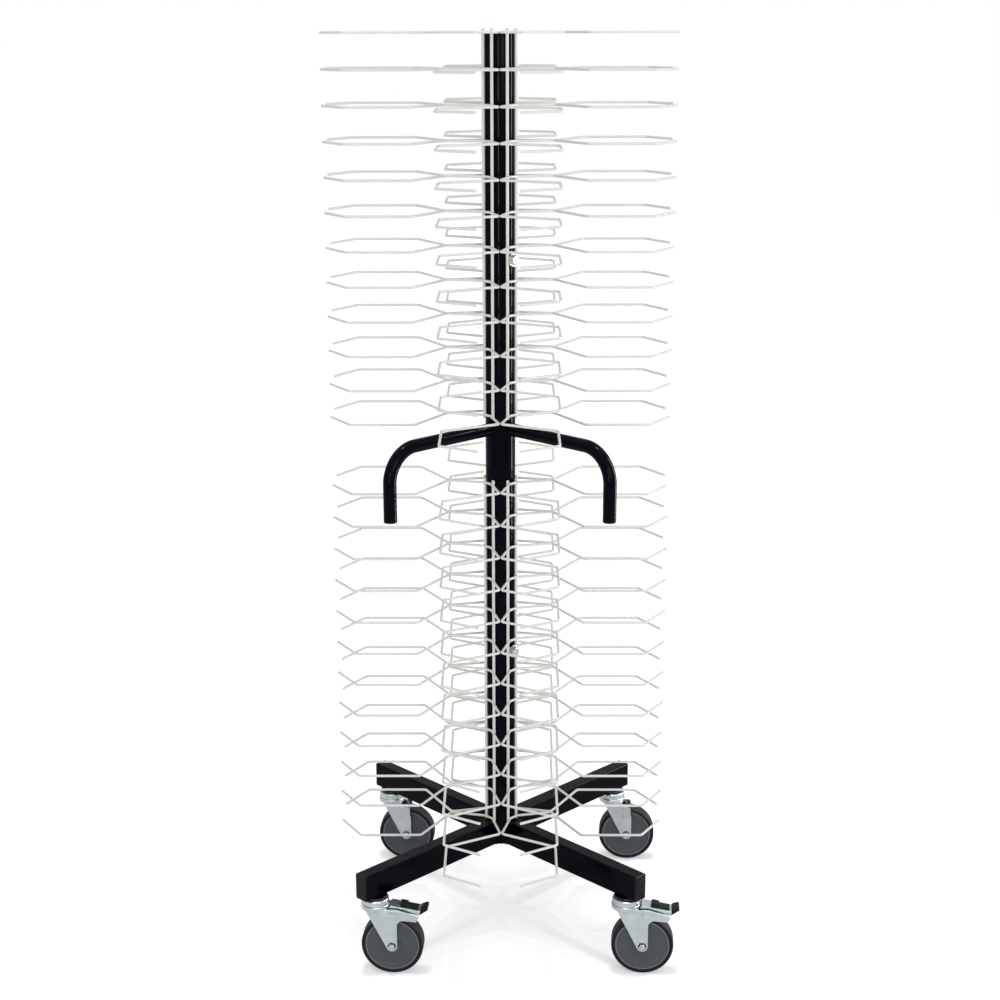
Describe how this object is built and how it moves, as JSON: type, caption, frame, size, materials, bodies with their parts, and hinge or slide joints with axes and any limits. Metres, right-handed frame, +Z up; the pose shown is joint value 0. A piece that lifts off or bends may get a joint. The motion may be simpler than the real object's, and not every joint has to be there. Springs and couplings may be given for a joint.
{
  "type": "plate dispenser cart",
  "caption": "Mobile plate rack: wire cages with open plate places on every side of a mast, bent handles, cross base, and swivel casters with foot brakes in front.",
  "frame": {"origin": "on the floor, under the mast's axis", "axes": "+Z up along the mast; -Y is the front, where the braked casters and both handles are; +X is to the right"},
  "size_m": [0.6945, 0.671, 1.8329],
  "materials": {
    "black_paint": "gloss black powder coat",
    "white_wire": "smooth white plastic coating on steel wire",
    "black_plastic": "fine satin black moulded plastic",
    "tyre_rubber": "satin black solid rubber",
    "wheel_plastic": "satin blue-grey moulded plastic",
    "zinc_plate": "bright zinc-plated pressed steel",
    "bright_steel": "zinc-plated turned steel"
  },
  "bodies": {
    "frame": {"mast_tube": "black_paint", "mast_top_cap": "black_plastic", "mast_foot_plug": "black_plastic", "base_legs": "black_paint", "leg_end_caps": "black_plastic", "handle_left": "black_paint", "handle_right": "black_paint", "handle_end_plugs": "black_plastic", "upper_cage_rods": "white_wire", "lower_cage_rods": "white_wire", "upper_cage_wires_front_left": "white_wire", "upper_cage_wires_back_left": "white_wire", "upper_cage_wires_back_right": "white_wire", "upper_cage_wires_front_right": "white_wire", "lower_cage_wires_front_left": "white_wire", "lower_cage_wires_back_left": "white_wire", "lower_cage_wires_back_right": "white_wire", "lower_cage_wires_front_right": "white_wire", "cage_clamp_bolts": "bright_steel", "cage_clamp_washers": "bright_steel", "cage_clamp_inserts": "bright_steel", "caster_bosses": "black_paint", "caster_leg_nuts": "bright_steel", "caster_king_bolts": "bright_steel", "caster_top_races": "zinc_plate"},
    "front_left_swivel": {"front_left_caster_fork": "zinc_plate", "front_left_caster_swivel_balls": "bright_steel", "front_left_caster_axle_sleeve": "bright_steel", "front_left_caster_axle_bolt": "bright_steel", "front_left_caster_axle_nut": "bright_steel", "front_left_caster_brake_pivot": "bright_steel"},
    "front_left_wheel": {"front_left_caster_tyre": "tyre_rubber", "front_left_caster_wheel_hub": "wheel_plastic"},
    "front_left_pedal": {"front_left_caster_brake_pedal": "zinc_plate", "front_left_caster_pedal_cap": "black_plastic"},
    "front_right_swivel": {"front_right_caster_fork": "zinc_plate", "front_right_caster_swivel_balls": "bright_steel", "front_right_caster_axle_sleeve": "bright_steel", "front_right_caster_axle_bolt": "bright_steel", "front_right_caster_axle_nut": "bright_steel", "front_right_caster_brake_pivot": "bright_steel"},
    "front_right_wheel": {"front_right_caster_tyre": "tyre_rubber", "front_right_caster_wheel_hub": "wheel_plastic"},
    "front_right_pedal": {"front_right_caster_brake_pedal": "zinc_plate", "front_right_caster_pedal_cap": "black_plastic"},
    "back_right_swivel": {"back_right_caster_fork": "zinc_plate", "back_right_caster_swivel_balls": "bright_steel", "back_right_caster_axle_sleeve": "bright_steel", "back_right_caster_axle_bolt": "bright_steel", "back_right_caster_axle_nut": "bright_steel"},
    "back_right_wheel": {"back_right_caster_tyre": "tyre_rubber", "back_right_caster_wheel_hub": "wheel_plastic"},
    "back_left_swivel": {"back_left_caster_fork": "zinc_plate", "back_left_caster_swivel_balls": "bright_steel", "back_left_caster_axle_sleeve": "bright_steel", "back_left_caster_axle_bolt": "bright_steel", "back_left_caster_axle_nut": "bright_steel"},
    "back_left_wheel": {"back_left_caster_tyre": "tyre_rubber", "back_left_caster_wheel_hub": "wheel_plastic"}
  },
  "joints": [
    {"name": "front_left_swivel_turn", "type": "hinge", "parent": "frame", "child": "front_left_swivel", "pos_m": [-0.25102, -0.25102, 0.1498], "axis": [0, 0, 1], "continuous": true},
    {"name": "front_left_wheel_roll", "type": "hinge", "parent": "front_left_swivel", "child": "front_left_wheel", "pos_m": [-0.21711, -0.25339, 0.0625], "axis": [0.0698, 0.9976, 0], "continuous": true},
    {"name": "front_left_brake_press", "type": "hinge", "parent": "front_left_swivel", "child": "front_left_pedal", "pos_m": [-0.21661, -0.25343, 0.1351], "axis": [0.0698, 0.9976, 0], "range_deg": [0, 12]},
    {"name": "front_right_swivel_turn", "type": "hinge", "parent": "frame", "child": "front_right_swivel", "pos_m": [0.25102, -0.25102, 0.1498], "axis": [0, 0, 1], "continuous": true},
    {"name": "front_right_wheel_roll", "type": "hinge", "parent": "front_right_swivel", "child": "front_right_wheel", "pos_m": [0.28494, -0.25339, 0.0625], "axis": [0.0698, 0.9976, 0], "continuous": true},
    {"name": "front_right_brake_press", "type": "hinge", "parent": "front_right_swivel", "child": "front_right_pedal", "pos_m": [0.28544, -0.25343, 0.1351], "axis": [0.0698, 0.9976, 0], "range_deg": [0, 12]},
    {"name": "back_right_swivel_turn", "type": "hinge", "parent": "frame", "child": "back_right_swivel", "pos_m": [0.25102, 0.25102, 0.1498], "axis": [0, 0, 1], "continuous": true},
    {"name": "back_right_wheel_roll", "type": "hinge", "parent": "back_right_swivel", "child": "back_right_wheel", "pos_m": [0.28494, 0.24865, 0.0625], "axis": [0.0698, 0.9976, 0], "continuous": true},
    {"name": "back_left_swivel_turn", "type": "hinge", "parent": "frame", "child": "back_left_swivel", "pos_m": [-0.25102, 0.25102, 0.1498], "axis": [0, 0, 1], "continuous": true},
    {"name": "back_left_wheel_roll", "type": "hinge", "parent": "back_left_swivel", "child": "back_left_wheel", "pos_m": [-0.21711, 0.24865, 0.0625], "axis": [0.0698, 0.9976, 0], "continuous": true}
  ]
}
